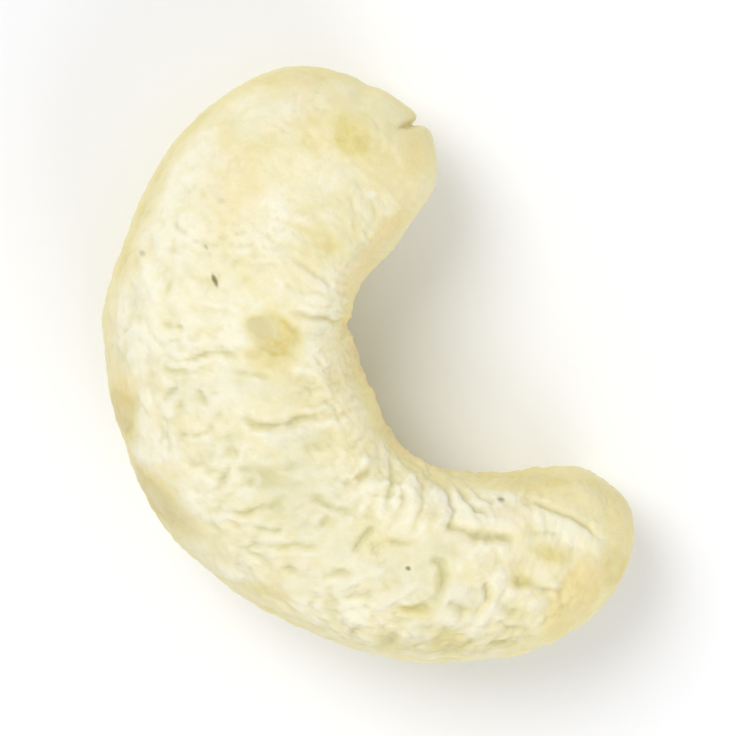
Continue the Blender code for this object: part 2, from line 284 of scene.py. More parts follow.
# Where the bloom lies thickest, and where a highlight is painted white, as seen, in the same terms.
whiteBloomAndHighlightPatches = (
    # Painted highlight: this patch and the next whiten the lit upper-left shoulder
    ((-6.80, -8.40), 0.95, 2.30, 0.35, 0.7, 0.70),
    ((-7.80, -3.70), 0.90, 2.40, 0.05, 1.0, 0.80),
    ((-6.10, -3.30), 1.80, 2.20, 0.20, 0.6, 0.90),
    ((-5.40, 0.00), 1.60, 1.60, 0.20, 0.7, 0.90),
    ((-5.70, 3.80), 1.00, 1.20, 0.40, 0.8, 0.90),
    ((-7.20, 1.90), 1.10, 0.90, 0.50, 0.9, 0.80),
    ((-4.40, 6.10), 1.40, 1.00, 0.40, 0.9, 0.80),
    ((-2.60, -7.00), 0.95, 1.80, 0.05, 0.9, 0.90),
    ((-6.50, -6.20), 1.30, 1.50, 0.20, 0.9, 0.80),
    ((-6.60, -2.00), 1.20, 0.80, 0.00, 0.9, 0.80),
    ((-4.30, -3.00), 0.70, 0.70, 0.00, 0.7, 0.90),
    ((-3.40, 5.40), 1.40, 0.70, 0.20, 0.8, 0.90),
    ((1.60, 8.00), 0.70, 0.50, 0.00, 0.8, 0.90),
    ((-2.90, -11.30), 1.10, 0.80, 0.00, 0.7, 0.90),
    ((1.20, -11.50), 0.80, 0.60, 0.40, 0.5, 0.90),
    ((-0.80, -3.40), 0.70, 1.80, 0.00, 0.7, 0.90),
    ((2.20, 4.20), 1.10, 0.90, 0.00, 1.0, 0.90),
    ((4.70, 4.00), 1.80, 0.50, 0.05, 1.4, 0.90),
    ((-0.40, 6.90), 1.70, 1.30, 0.00, 0.5, 0.90),
    ((-4.70, -2.30), 1.20, 1.50, 0.00, 0.6, 0.90),
    ((-4.50, 3.60), 1.00, 2.20, 0.20, 0.7, 0.90),
    # Painted highlight on the lit upper-left shoulder
    ((-8.20, -4.20), 0.60, 1.30, 0.00, 1.2, 0.80),
    # Painted highlight: a small glint on a bump
    ((1.17, -8.15), 0.22, 0.14, 0.00, 1.2, 0.60),
    ((1.70, -7.80), 0.34, 0.45, 0.00, 0.8, 0.90),
    ((-0.50, -7.35), 0.32, 0.26, 0.00, 0.8, 0.80),
    ((5.10, 6.00), 0.60, 0.40, 0.00, 0.6, 0.90),
    ((-3.40, -6.80), 0.80, 1.00, 0.40, 0.6, 0.90),
    ((-4.60, -4.40), 0.70, 0.60, 0.00, 0.6, 0.90),
    ((2.40, 7.60), 0.80, 0.50, -0.50, 0.5, 0.90),
    ((2.90, 5.10), 0.90, 0.60, 0.00, 0.8, 0.90),
    ((6.10, 4.80), 1.00, 0.35, 0.20, 0.5, 0.90),
    ((8.10, 4.75), 1.00, 0.35, 0.20, 0.5, 0.90),
    ((4.30, 8.60), 0.80, 0.40, 0.00, 0.4, 0.90),
    ((4.75, 7.65), 0.70, 0.50, 0.00, 0.9, 0.90),
    ((8.80, 5.25), 0.90, 0.40, 0.40, 0.8, 0.90),
    ((6.10, 8.20), 0.50, 0.50, 0.00, 0.4, 0.90),
    ((9.30, 5.40), 0.80, 0.45, 0.50, 0.4, 0.90),
    ((6.20, 7.10), 0.50, 0.45, 0.00, 0.4, 0.90),
    ((-2.60, 1.45), 0.90, 0.35, 0.10, 0.7, 0.80),
)

# Where the flesh shows a peach tinge, and along the inner rim a painted warm reflection, as seen, in the
# same terms.
peachPatches = (
    ((9.30, 7.90), 1.60, 0.85, -1.02, 0.38, 0.35),
    ((2.80, -9.70), 0.60, 1.60, 0.15, 0.28, 0.80),
    # Painted reflection: warm light along the inner rim
    ((1.15, -6.05), 0.30, 1.70, 0.62, 0.45, 0.60),
    ((-8.85, -0.30), 0.40, 1.00, -0.10, 0.35, 0.60),
    ((-6.90, 3.70), 1.60, 0.35, 0.80, 0.15, 0.80),
    ((-4.40, -8.20), 1.20, 1.60, 0.30, 0.10, 0.90),
    ((11.3, 5.40), 0.50, 1.60, 0.00, 0.25, 0.80),
)

# Where the flesh is butter yellow, as seen, in the same terms.
butterPatches = (
    ((1.20, -11.00), 1.90, 1.30, 0.60, 0.32, 0.80),
    ((2.90, -9.40), 0.60, 1.60, 0.10, 0.45, 0.80),
    ((9.60, 7.90), 1.80, 1.00, -1.02, 0.26, 0.60),
    ((10.6, 5.40), 1.20, 1.80, 0.00, 0.26, 0.80),
    ((9.00, 3.90), 1.80, 0.50, 0.20, 0.25, 0.80),
    ((8.70, 9.00), 1.00, 0.60, -0.60, 0.32, 0.60),
    ((0.10, -3.40), 0.50, 1.40, 0.00, 0.25, 0.80),
    ((1.30, 0.40), 0.40, 1.50, -0.35, 0.55, 0.70),
)

# Where the flesh is coloured greyer and a little darker, as seen, in the same terms.
dullPatches = (
    ((-1.80, 3.60), 1.60, 1.40, 0.00, 0.46, 0.90),
    ((-1.90, 1.40), 0.80, 0.60, 0.00, 0.42, 0.90),
    ((-3.40, -0.60), 1.60, 0.50, 0.20, 0.28, 0.90),
    ((0.00, -7.30), 1.40, 1.20, 0.30, 0.20, 0.90),
    ((-1.40, 5.20), 1.00, 0.70, 0.00, 0.26, 0.90),
    ((2.60, 6.00), 0.90, 0.60, 0.00, 0.24, 0.90),
    ((-5.80, -0.30), 1.00, 0.70, 0.00, 0.32, 0.90),
    ((-3.25, -2.85), 0.50, 0.42, 0.50, 0.34, 0.60),
    ((2.95, 9.00), 0.60, 0.35, 0.20, 0.40, 0.90),
    ((-0.40, 6.90), 1.20, 0.90, 0.00, 0.14, 0.90),
    ((-5.00, 1.90), 1.00, 0.50, 0.00, 0.22, 0.90),
    ((0.00, 6.00), 0.70, 0.50, 0.00, 0.30, 0.90),
    ((3.00, 7.10), 1.40, 0.80, 0.00, 0.30, 0.90),
    ((4.60, 8.10), 1.30, 0.60, 0.00, 0.32, 0.90),
    ((4.00, 6.00), 0.70, 0.50, 0.00, 0.34, 0.90),
    ((-6.30, 4.50), 1.20, 0.70, 0.70, 0.28, 0.90),
    ((0.50, -6.20), 0.90, 0.80, 0.30, 0.26, 0.90),
    ((0.10, 4.10), 0.50, 0.40, 0.00, 0.20, 0.90),
)

# Where the wrinkles are weaker, as seen, in the same terms, with how much weaker in place of
# how bare.
calmPatches = (
    ((0.60, 0.00), 0.70, 1.80, -0.35, 0.55, 0.80),
    ((3.30, 5.00), 1.60, 1.30, 0.00, 0.50, 0.90),
    ((6.00, 6.00), 1.80, 1.20, 0.00, 0.32, 0.90),
    ((0.50, 4.20), 1.20, 1.00, 0.00, 0.40, 0.90),
)

# Layers of wrinkles, each a network of creases round rounded pads: how it is laid out, how many
# to the millimetre, the height, the stretch of the kernel where the layer is full with its fade,
# its share elsewhere, its side, inner, 1, outer, -1, or both, 0, and what sets its noise apart.
# A straight layer is laid along the straightened kernel: its scale is along it and then in the
# two directions across it.
wrinkleLayers = (
    ("spread", (0.85, 0.85, 0.85), 0.18, (9.4, 15.4, 2.0), 0.42, 0, 23.0),
    ("spread", (1.50, 1.50, 1.50), 0.14, (5.4, 15.0, 1.5), 0.45, 0, 71.0),
    ("spread", (2.50, 2.50, 2.50), 0.11, (5.0, 15.2, 1.5), 0.50, 0, 31.0),
    ("spread", (4.00, 4.00, 4.00), 0.045, (6.0, 15.4, 1.5), 0.80, 0, 37.0),
    ("straight", (1.15, 0.50, 0.50), 0.14, (5.4, 15.0, 2.0), 0.25, 0, 91.0),
    ("straight", (2.10, 0.90, 0.90), 0.13, (3.0, 14.6, 1.5), 0.40, 0, 47.0),
    ("straight", (3.40, 1.20, 1.20), 0.09, (1.8, 13.5, 1.5), 0.75, 0, 19.0),
    ("straight", (1.30, 0.45, 0.45), 0.11, (4.6, 14.6, 2.5), 0.40, 1, 11.0),
    ("straight", (2.60, 0.50, 0.50), 0.05, (4.6, 13.0, 2.5), 0.40, -1, 13.0),
)

# How the wrinkles and drawn lines spread over the kernel. A row of noise is how strong it is,
# how many to the millimetre, and what sets it apart.
surface = {
    "broad": ((0.12, 0.24, 5.0), (0.07, 0.55, 7.0)),
    "straightWaver": ((0.9, 0.45, 3.0), (0.6, 0.45, 3.0), (0.6, 0.45, 3.0)),
    "spreadWaver": ((0.4, 0.6, 81.0), (0.4, 0.6, 83.0), (0.4, 0.6, 87.0)),
    "lineWaver": ((0.11, 1.3, 51.0), (0.11, 1.3, 57.0)),
    "patchWaver": ((0.40, 0.9, 41.0), (0.25, 2.3, 43.0)),
    "unevenness": ((0.8, 0.45, 61.0),),
    "spanLength": 2.1,            # of one span of the straightened kernel
    "girthRadius": 5.0,           # of the straightened kernel
    "wrinkleRounding": 0.004,     # the more, the softer the wrinkles' bottoms
    "wrinkleLevel": 0.25,         # the part of a wrinkle's noise that lies below the flesh
    "wrinkleShare": 1.05,         # of the wrinkles' height, where the unevenness is 0
    "wrinkleRange": (0.3, 1.4),   # least and greatest share of the wrinkles' height
    "sideShare": 0.58,            # of the wrinkles' height where the flesh stands upright
    "sideSlope": (0.15, 0.65),    # slopes between which that share grows to 1
    "lineGain": 1.25,             # of the creases, ridges, pads and dips against their lists
    "lineShare": 1.00,            # of the lines' height, where the unevenness is 0
    "lineUnevenness": 0.5,
    "creaseGain": 1.15,           # of the creases' depths
    "creaseNarrowing": 0.9,       # of their floors' half widths
    "endStrength": 0.25,          # of a line at its very ends, growing from there
    "endGrowth": 4,
    "upperSlope": 2.5,            # how fast the upper side's lines fade towards the flanks
    "rimCover": 0.2,              # of the patches where the flesh stands upright
    "bareCalm": 0.65,             # share of the wrinkles that a bare patch lacks
    "clearHeight": 1.2,           # the lowest millimetres, where the relief fades out
}

# What the flesh's finish follows. A stretch is its start and end along the kernel, and how
# fast it fades at each.
marking = {
    "streak": {"scale": (2.8, 0.6, 0.6), "shift": 29.0, "elsewhere": 0.25, "stretch": (3.0, 10.5, 1.5, 2)},
    # Painted shade along the seam on the inner side, down in the furrow
    "seam": {"halfWidth": 0.5, "stretch": (1.6, 12.4, 2, 2), "strength": 0.75, "facing": 0.4},
    # Painted shade, with less bloom, down in the creases and dips
    "valleyShadeAndBare": {"from": -0.01, "reach": 0.14},
    # Painted highlight, with thicker bloom, on the raised parts
    "crestBloomAndHighlight": {"from": 0.01, "reach": 0.20},
    # Painted shade: where the flesh turns away from straight up it is painted yellower and with less bloom
    "flankShade": {"from": -0.05, "reach": 0.60},
    # Painted reflection: a thin warm line along the inner curve's upper rim
    "lipReflection": {"turn": 0.28, "halfWidth": 0.10, "stretch": (3.2, 11.5, 1.5, 2)},
}


def bell(distance, halfWidth):
    return np.exp(-((distance / halfWidth) ** 2))


def ramp(value):
    value = np.clip(value, 0.0, 1.0)
    return value * value * (3 - 2 * value)


# 1 between two places along the kernel, fading just inside each.
def stretch(place, start, end, fadeIn, fadeOut):
    return ramp((place - start) / fadeIn) * ramp((end - place) / fadeOut)


def unit(vectors):
    return vectors / np.linalg.norm(vectors, axis=1)[:, None]


# Control points of the closed cubic B-spline that passes through the knots.
def splineControls(knots):
    count = len(knots)
    matrix = np.zeros((count, count))
    for row in range(count):
        matrix[row, row] = 4 / 6
        matrix[row, row - 1] += 1 / 6
        matrix[row, (row + 1) % count] += 1 / 6
    return np.linalg.solve(matrix, knots)


def splineAt(controls, place):
    whole = np.floor(place).astype(int)
    part = (place - whole)[:, None]
    weights = (
        (1 - part) ** 3 / 6,
        (3 * part**3 - 6 * part**2 + 4) / 6,
        (-3 * part**3 + 3 * part**2 + 3 * part + 1) / 6,
        part**3 / 6,
    )
    steps = (-1, 0, 1, 2)
    return sum(w * controls[(whole + s) % len(controls)] for w, s in zip(weights, steps))


# One closed curve: out along the outer points, back along the inner ones, whose half thickness
# is stored as negative.
def kernelControls():
    outer = [(*out, thick, level) for out, _, thick, level in kernel["sections"]]
    inner = [(*into, -thick, level) for _, into, thick, level in kernel["sections"]]
    rootX, rootY, rootZ = kernel["rootTip"]
    plainX, plainY, plainZ = kernel["plainTip"]
    knots = [(rootX, rootY, 0, rootZ), *outer, (plainX, plainY, 0, plainZ), *reversed(inner)]
    return splineControls(np.array(knots, float))


controls = kernelControls()


# The middle of the section, the vector to its inner edge, and half its thickness.
def sectionAt(place):
    outer = splineAt(controls, place)
    inner = splineAt(controls, 2 * spans - place)
    middle = (outer + inner)[:, [0, 1, 3]] / 2
    inward = (inner - outer)[:, [0, 1, 3]] / 2
    inward[:, 2] = 0
    return middle, inward, (outer[:, 2] - inner[:, 2]) / 2


def seamRelief(place, across):
    furrow, lips, pit = kernel["furrow"], kernel["furrowLips"], kernel["pit"]
    along = stretch(place, furrow["start"], furrow["end"], furrow["fade"], furrow["fade"])
    raised = lips["height"] * bell(abs(across) - lips["offset"], lips["halfWidth"])
    sunk = furrow["depth"] * bell(across, furrow["halfWidth"])
    hole = pit["depth"] * bell(place - pit["place"], pit["length"]) * bell(across, pit["width"])
    return along * (raised - sunk) - hole


def rimRelief(point, mark):
    wayRight, wayDown = mark["way"] / np.linalg.norm(mark["way"])
    inwards = wayRight * seenRight + wayDown * seenDown
    sidewards = wayRight * seenDown - wayDown * seenRight
    offset = point[:, :2] - mark["at"][0] * seenRight - mark["at"][1] * seenDown
    below = np.maximum(kernel["rimMarkTop"] - point[:, 2], 0)
    waver, fade = kernel["rimWaver"], kernel["rimFade"]
    sway = waver["reach"] * np.sin(waver["rate"] * below) * ramp(below / waver["growth"])
    sunk = mark["depth"] * bell(offset @ sidewards + sway, mark["halfWidth"])
    sunk *= ramp(1 - offset @ inwards / mark["reach"])
    return -sunk * ramp(fade["strength"] - below / fade["height"])


# The smooth kernel. place runs from 0 to spans along it, and turn 0 faces the inner curve.
def bodyPoints(place, turn):
    middle, inward, thick = sectionAt(place)
    side, rise = np.cos(turn), np.sin(turn)
    inner = kernel["innerSquareness"]
    squarer = ramp((inner["until"] - place) / inner["fade"])
    squarer = inner["added"] * (inner["least"] + (1 - inner["least"]) * squarer)
    power = kernel["squareness"] + squarer * ramp(inner["facing"] * side) * (rise > 0)
    reach = (abs(side) ** power + abs(rise) ** power) ** (-1 / power)
    point = middle + inward * (side * reach)[:, None]
    point[:, 2] += thick * rise * reach
    inset = kernel["coreInset"]
    core = sectionAt(np.clip(place, inset, spans - inset))[0]
    relief = seamRelief(place, point[:, 2] - middle[:, 2]) * ramp(2 * side)
    for mark in kernel["rimMarks"]:
        relief += rimRelief(point, mark)
    swell = kernel["swell"]
    waves = np.sin(swell["along"] * place) * np.sin(swell["round"] * turn)
    relief += swell["height"] * waves * np.sin(math.pi * place / spans)
    return point + unit(point - core) * relief[:, None]


def seenPlaces(points):
    right = points[:, :2] @ seenRight
    down = points[:, :2] @ seenDown + (points[:, 2] - view["middleHeight"]) * leanSlope
    return np.column_stack((right, down))


# The distance from each seen place to a path, and how far along the path it falls, 0 to 1.
def distanceToPath(places, path):
    nearest = np.full(len(places), np.inf)
    share = np.zeros(len(places))
    for step, (start, end) in enumerate(zip(path, path[1:])):
        run = np.subtract(end, start)
        part = np.clip((places - start) @ run / (run @ run), 0, 1)
        gap = np.linalg.norm(places - start - part[:, None] * run, axis=1)
        closer = gap < nearest
        nearest[closer] = gap[closer]
        share[closer] = (step + part[closer]) / (len(path) - 1)
    return nearest, share


# Full in the middle of a path and fading towards both of its ends.
def pathFade(share):
    least, growth = surface["endStrength"], surface["endGrowth"]
    return ramp(least + growth * share) * ramp(least + growth * (1 - share))


def lineHeights(places):
    height = np.zeros(len(places))
    for path, depth, halfWidth in creases:
        gap, share = distanceToPath(places, path)
        shoulder = creaseShoulder["height"] * bell(
            gap / halfWidth - creaseShoulder["offset"], creaseShoulder["width"]
        )
        floor = bell(gap, surface["creaseNarrowing"] * halfWidth)
        height += surface["creaseGain"] * depth * pathFade(share) * (shoulder - floor)
    for path, rise, halfWidth in ridges:
        gap, share = distanceToPath(places, path)
        height += rise * pathFade(share) * bell(gap, halfWidth)
    return height


# How far each place lies from the middle of an oval, 1 at its rim.
def ovalReach(places, middle, length, width, turn):
    offset = places - middle
    along = offset @ (math.cos(turn), math.sin(turn))
    across = offset @ (-math.sin(turn), math.cos(turn))
    return np.hypot(along / length, across / width)


def mounds(places, ovals):
    height = np.zeros(len(places))
    for middle, length, width, turn, rise in ovals:
        height += rise * bell(ovalReach(places, middle, length, width, turn), 1.0)
    return height


# The softer a patch's rim, the more the waver bends it.
def patchCover(places, patches, waver):
    cover = np.zeros(len(places))
    for middle, length, width, turn, strength, softness in patches:
        reach = ovalReach(places, middle, length, width, turn) + waver * (0.3 + softness)
        cover = np.maximum(cover, strength * ramp((1 + softness - reach) / (2 * softness)))
    return cover


def noiseAt(points, scale, shift):
    spots = points * scale + shift
    return np.array([noise.noise(spot) for spot in spots.tolist()])


# One column for each row of noise.
def noiseColumns(points, rows):
    return np.column_stack([strength * noiseAt(points, *where) for strength, *where in rows])


def noiseSum(points, rows):
    return noiseColumns(points, rows).sum(axis=1)


def lengthAlong(edge):
    return abs(edge.verts[0].co.x - edge.verts[1].co.x)


# A cube cut into a grid on every side, which becomes a ball drawn out along X.
def gridBlock(cellsAlong, cellsRound):
    block = bmesh.new()
    bmesh.ops.create_cube(block, size=2.0)
    lengthwise = [edge for edge in block.edges if lengthAlong(edge) > 1]
    bmesh.ops.subdivide_edges(block, edges=lengthwise, cuts=cellsAlong - 1, use_grid_fill=True)
    crosswise = [edge for edge in block.edges if lengthAlong(edge) < 1 / cellsAlong]
    bmesh.ops.subdivide_edges(block, edges=crosswise, cuts=cellsRound - 1, use_grid_fill=True)
    return block


def meshPoints(mesh):
    flat = np.empty(3 * len(mesh.vertices))
    mesh.vertices.foreach_get("co", flat)
    return flat.reshape(-1, 3)


def meshNormals(mesh):
    flat = np.empty(3 * len(mesh.vertices))
    mesh.vertex_normals.foreach_get("vector", flat)
    return flat.reshape(-1, 3)


def setPoints(mesh, points):
    mesh.vertices.foreach_set("co", points.ravel())
    mesh.update()


def addValues(mesh, name, values):
    layer = mesh.attributes.new(name, "FLOAT", "POINT")
    layer.data.foreach_set("value", values.astype(np.float32))


# Each point's place along the kernel and turn round it, from its place on the block.
def placeAndTurn(grid):
    sideways = np.tan(grid[:, 1] * kernel["capAngle"])
    upwards = np.tan(grid[:, 2] * kernel["capAngle"])
    latitude = grid[:, 0] * (math.pi / 2 - np.arctan(np.hypot(sideways, upwards)))
    return spans * (latitude / math.pi + 0.5), np.arctan2(upwards, sideways)


# The kernel laid out straight, so that wrinkles follow its length and its girth.
def straightened(place, turn):
    radius = surface["girthRadius"]
    along = surface["spanLength"] * place
    straight = np.column_stack((along, radius * np.cos(turn), radius * np.sin(turn)))
    return straight + noiseColumns(straight, surface["straightWaver"])


def wrinkleHeights(layouts, place, turn, slope, unevenness):
    low, high = surface["sideSlope"]
    upright = surface["sideShare"]
    sideShare = upright + (1 - upright) * ramp((slope - low) / (high - low))
    patchShare = np.clip(surface["wrinkleShare"] + unevenness, *surface["wrinkleRange"])
    height = np.zeros(len(place))
    for layout, scale, rise, (start, end, fade), elsewhere, side, shift in wrinkleLayers:
        pattern = noiseAt(layouts[layout], scale, shift)
        swollen = np.sqrt(pattern**2 + surface["wrinkleRounding"]) - surface["wrinkleLevel"]
        share = elsewhere + (1 - elsewhere) * stretch(place, start, end, fade, fade)
        share *= sideShare
        if side:
            share *= ramp(0.5 + side * np.cos(turn))
        height += rise * swollen * share * patchShare
    return height


def drawnHeights(points, seen, unevenness):
    drawn = seen + noiseColumns(points, surface["lineWaver"])
    share = surface["lineShare"] + surface["lineUnevenness"] * unevenness
    height = lineHeights(drawn) * share
    height += mounds(drawn, pads) - mounds(drawn, dips)
    return height * surface["lineGain"]


# What the finish follows besides the patches, painted shade, highlight and reflection among it: relief is
# the height of the lines and wrinkles.
def addMarkings(mesh, points, normals, straight, place, turn, relief):
    streak, seam, lipReflection = marking["streak"], marking["seam"], marking["lipReflection"]
    streaks = noiseAt(straight, streak["scale"], streak["shift"])
    streaks *= streak["elsewhere"] + (1 - streak["elsewhere"]) * stretch(place, *streak["stretch"])
    addValues(mesh, "streak", streaks)
    # Painted shade: darker along the seam where it runs on the inner side, in the furrow
    shade = bell(points[:, 2] - sectionAt(place)[0][:, 2], seam["halfWidth"])
    shade *= ramp(2 * np.cos(turn) - seam["facing"]) * stretch(place, *seam["stretch"])
    valleyShadeAndBare, crestBloomAndHighlight, flankShade = marking["valleyShadeAndBare"], marking["crestBloomAndHighlight"], marking["flankShade"]
    sunk = (relief - valleyShadeAndBare["from"]) / valleyShadeAndBare["reach"]
    # Painted shade, with less bloom, in the creases, dips and furrow
    addValues(mesh, "valleyShadeAndBare", np.clip(seam["strength"] * shade - sunk, 0, 1))
    # Painted highlight, with thicker bloom: 1 on the raised parts
    addValues(mesh, "crestBloomAndHighlight", np.clip((relief - crestBloomAndHighlight["from"]) / crestBloomAndHighlight["reach"], 0, 1))
    # Painted shade: 1 on the flanks, which are painted yellower and less bloomed
    addValues(mesh, "flankShade", 1 - ramp((normals[:, 2] - flankShade["from"]) / flankShade["reach"]))
    # Painted reflection: a thin warm line along the inner curve's upper rim
    edge = bell(turn - lipReflection["turn"], lipReflection["halfWidth"]) * stretch(place, *lipReflection["stretch"])
    addValues(mesh, "lipReflection", edge)


def buildKernel():
    block = gridBlock(kernel["cellsAlong"], kernel["cellsRound"])
    mesh = bpy.data.meshes.new("kernel_flesh")
    block.to_mesh(mesh)
    block.free()
    place, turn = placeAndTurn(meshPoints(mesh))
    points = bodyPoints(place, turn)
    setPoints(mesh, points * mm)
    normals = meshNormals(mesh)
    print("kernel's smooth form made")

    seen = seenPlaces(points)
    upper = ramp(surface["upperSlope"] * normals[:, 2])
    facing = ramp(surface["upperSlope"] * normals[:, 2] + surface["rimCover"])
    waver = noiseSum(points, surface["patchWaver"])
    cover = {
        "bare": patchCover(seen, barePatches, waver) * facing,
        "whiteBloomAndHighlight": patchCover(seen, whiteBloomAndHighlightPatches, waver) * upper,
        "dull": patchCover(seen, dullPatches, waver) * upper,
        "peach": patchCover(seen, peachPatches, waver) * facing,
        "butter": patchCover(seen, butterPatches, waver) * facing,
    }
    for name, values in cover.items():
        addValues(mesh, name, values)

    unevenness = noiseSum(points, surface["unevenness"])
    straight = straightened(place, turn)
    spread = points + noiseColumns(points, surface["spreadWaver"])
    layouts = {"straight": straight, "spread": spread}
    relief = wrinkleHeights(layouts, place, turn, abs(normals[:, 2]), unevenness)
    relief *= 1 - surface["bareCalm"] * cover["bare"]
    relief *= 1 - patchCover(seen, calmPatches, waver) * upper
    relief += drawnHeights(points, seen, unevenness) * upper
    height = relief + noiseSum(points, surface["broad"])
    height *= ramp(points[:, 2] / surface["clearHeight"])
    points = points + normals * height[:, None]
    points[:, 2] = np.maximum(points[:, 2], 0)
    setPoints(mesh, points * mm)
    addMarkings(mesh, points, normals, straight, place, turn, relief)
    mesh.shade_smooth()
    piece = bpy.data.objects.new("kernel_flesh", mesh)
    bpy.context.scene.collection.objects.link(piece)
    print("kernel's creases and wrinkles made:", len(mesh.polygons), "faces")
    return piece


# A value in a shader: arithmetic on it adds Math nodes.
class Value:
    def __init__(self, finish, socket):
        self.finish = finish
        self.socket = socket

    def combine(self, operation, first, second):
        return self.finish.node("Math", {"operation": operation}, {0: first, 1: second})

    def __add__(self, other):
        return self.combine("ADD", self, other)

    def __radd__(self, other):
        return self.combine("ADD", other, self)

    def __sub__(self, other):
        return self.combine("SUBTRACT", self, other)

    def __rsub__(self, other):
        return self.combine("SUBTRACT", other, self)

    def __mul__(self, other):
        return self.combine("MULTIPLY", self, other)

    def __rmul__(self, other):
        return self.combine("MULTIPLY", other, self)


class Finish:
    def __init__(self, name):
        self.material = bpy.data.materials.new(name)
        self.material.use_nodes = True
        self.tree = self.material.node_tree
        self.shader = self.tree.nodes["Principled BSDF"]

    # Settings are set first, then each socket gets a value or a link.
    def node(self, kind, settings, sockets, output=0):
        made = self.tree.nodes.new("ShaderNode" + kind)
        stops = settings.pop("stops", None)
        for name, setting in settings.items():
            setattr(made, name, setting)
        if stops:
            self.setStops(made.color_ramp, stops)
        for name, given in sockets.items():
            self.plug(made.inputs[name], given)
        return Value(self, made.outputs[output])

    def setStops(self, colourRamp, stops):
        while len(colourRamp.elements) < len(stops):
            colourRamp.elements.new(1.0)
        for element, (position, colour) in zip(colourRamp.elements, stops):
            element.position = position
            element.color = (*colour, 1.0)

    def plug(self, socket, given):
        if isinstance(given, Value):
            self.tree.links.new(given.socket, socket)
        else:
            socket.default_value = given

    def shade(self, **sockets):
        for name, given in sockets.items():
            self.plug(self.shader.inputs[name.replace("_", " ")], given)

    def millimetres(self):
        place = self.node("TexCoord", {}, {}, "Object")
        return self.node("VectorMath", {"operation": "SCALE"}, {0: place, "Scale": 1 / mm})

    def noise(self, place, scale, detail, roughness, distortion=0.0):
        sockets = {"Vector": place, "Scale": scale, "Detail": detail}
        sockets.update({"Roughness": roughness, "Distortion": distortion})
        return self.node("TexNoise", {}, sockets, "Fac")

    def attribute(self, name):
        return self.node("Attribute", {"attribute_name": name}, {}, "Fac")

    def mix(self, factor, first, second):
        return self.node("Mix", {"data_type": "RGBA"}, {0: factor, 6: first, 7: second}, 2)

    # 0 below low and 1 above high, or the other way round, with a smooth rise between.
    def step(self, value, low, high):
        settings = {"interpolation_type": "SMOOTHSTEP"}
        return self.node("MapRange", settings, {"Value": value, "From Min": low, "From Max": high})


# Dark specks on the upper side, as seen: the middle, half the length and half the width, the
# turn, and how dark it is.
specks = (
    ((-5.02, -4.82), 0.30, 0.10, 1.2, 0.85),
    ((-5.36, -6.10), 0.12, 0.07, 1.0, 0.32),
    ((-7.92, -5.74), 0.16, 0.12, 0.6, 0.32),
    ((-5.75, -6.33), 0.16, 0.10, 0.2, 0.15),
    ((-4.77, -7.90), 0.17, 0.12, 0.0, 0.15),
    ((-4.49, -11.8), 0.16, 0.10, 0.5, 0.25),
    ((6.29, 4.14), 0.19, 0.11, 0.2, 0.75),
    ((2.59, 6.63), 0.11, 0.09, 0.3, 0.75),
)
speckShape = {
    "height": 9.8,                # where the upper side stands, about
    "halfDepth": 3.0,
    "raggedness": 0.8,
    "rim": (1.4, 0.4),            # from no speck to full, in half widths
}

# The flesh's finish. A noise is how many to the millimetre, its detail, its roughness and its
# distortion, and the shares are of its swing about its middle.
flesh = {
    "noises": {
        "large": (0.34, 3.0, 0.55, 0.5),
        "middling": (1.05, 4.0, 0.6, 0.3),
        "small": (4.2, 5.0, 0.65),
        "grain": (9.0, 4.0, 0.6),
        "peachy": (0.5, 2.0, 0.5, 0.4),
        "greenish": (0.85, 2.0, 0.5, 0.6),
    },
    "bloom": 0.78,                # how thick the white bloom lies before what follows
    "mottleShares": {"large": 1.0, "middling": 0.6, "small": 0.35},
    "bloomShares": {
        # Besides the bloom itself, painted highlight whitens the raised parts, and painted shade takes
        # bloom from the flanks, creases and furrow
        "whiteBloomAndHighlight": 0.22, "crestBloomAndHighlight": 0.24, "bare": -0.88, "flankShade": -0.28, "valleyShadeAndBare": -0.20, "streak": 0.12,
    },
    # Colours from bare and waxy to under full bloom.
    "bareToBloom": (
        (0.0, (0.67, 0.55, 0.17)),
        (0.25, (0.79, 0.68, 0.29)),
        (0.5, (0.85, 0.76, 0.41)),
        (0.75, (0.885, 0.81, 0.51)),
        (0.9, (0.915, 0.85, 0.60)),
        (1.0, (0.945, 0.895, 0.68)),
    ),
    "peachyFrom": (0.50, 0.72),   # where in its noise the tinge starts and is full
    "greenishFrom": (0.48, 0.70),
    # Painted shade: how strongly the flanks are painted yellow
    "flankShadeYellow": 0.42,
    # The tinges laid over that, in this order: the colour, and how strong it is.
    "tinges": {
        "peachy": ((0.92, 0.79, 0.55), 0.30),
        "greenish": ((0.80, 0.80, 0.56), 0.30),
        # Thick bloom, and painted highlight
        "thickBloom": ((0.98, 0.95, 0.82), 0.30),
        "dull": ((0.70, 0.69, 0.48), 1.0),
        # Painted shade: the darker, greener colour of the creases, dips and furrow
        "valleyShadeAndBare": ((0.68, 0.645, 0.36), 0.62),
        # Butter yellow patches, together with the painted shade of the yellow flanks
        "yellow": ((0.94, 0.84, 0.38), 1.0),
        "peach": ((0.93, 0.74, 0.37), 1.0),
        # Painted reflection: the warm colour of the line along the inner rim
        "lipReflection": ((0.93, 0.67, 0.31), 0.50),
    },
    "speck": (0.20, 0.16, 0.05),
    "bumpShares": {"small": 0.038, "grain": 0.014, "middling": 0.03},
    "roughness": 0.40,            # of bare flesh
    "bloomRoughness": 0.2,        # added by full bloom
}


# A point on the upper side at a seen place.
def onTop(right, down):
    height = speckShape["height"]
    plainDown = down - (height - view["middleHeight"]) * leanSlope
    spot = right * seenRight + plainDown * seenDown
    return (spot[0], spot[1], height)


# Each noise's swing about its middle, by its share, on top of a start.
def mottled(start, noises, shares):
    for name, share in shares.items():
        start = start + (noises[name] - 0.5) * share
    return start


